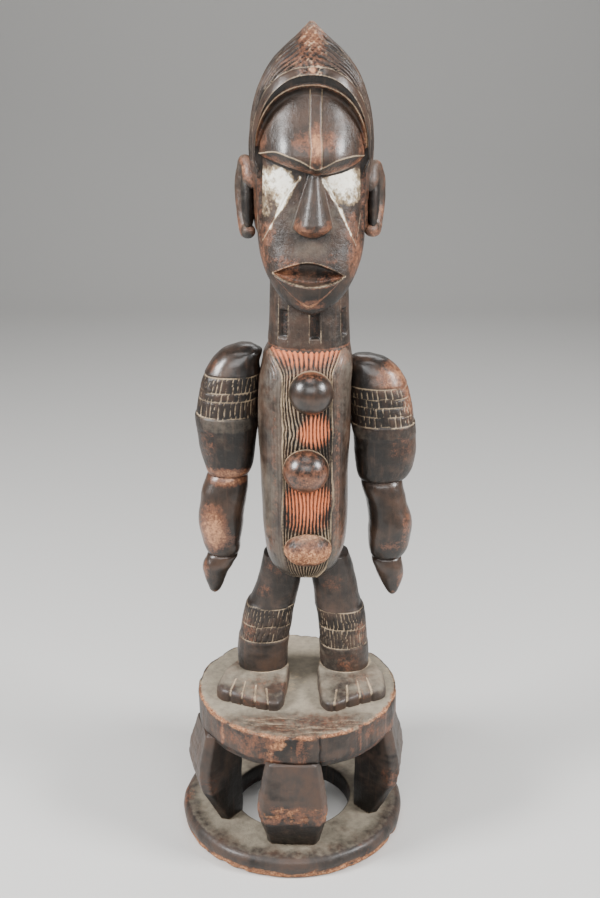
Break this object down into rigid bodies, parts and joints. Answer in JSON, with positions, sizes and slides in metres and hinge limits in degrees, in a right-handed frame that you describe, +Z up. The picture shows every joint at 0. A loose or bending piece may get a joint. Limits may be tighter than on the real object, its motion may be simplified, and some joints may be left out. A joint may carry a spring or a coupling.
{
  "type": "carved wooden shrine figure",
  "caption": "Standing figure carved from one block of dark wood, on a disc held by posts above a pierced ring base.",
  "frame": {"origin": "centre of the ring base's underside, on the surface that the figure stands on", "axes": "+Z up, the face looks along -Y, +X is the viewer's right"},
  "size_m": [0.2365, 0.233, 0.8],
  "materials": {
    "dark_wood": "dark glossy patina, worn reddish brown on edges, pale dust in grooves, coral pigment on the chest"
  },
  "bodies": {
    "root": {"shrine_figure": "dark_wood"}
  },
  "joints": []
}
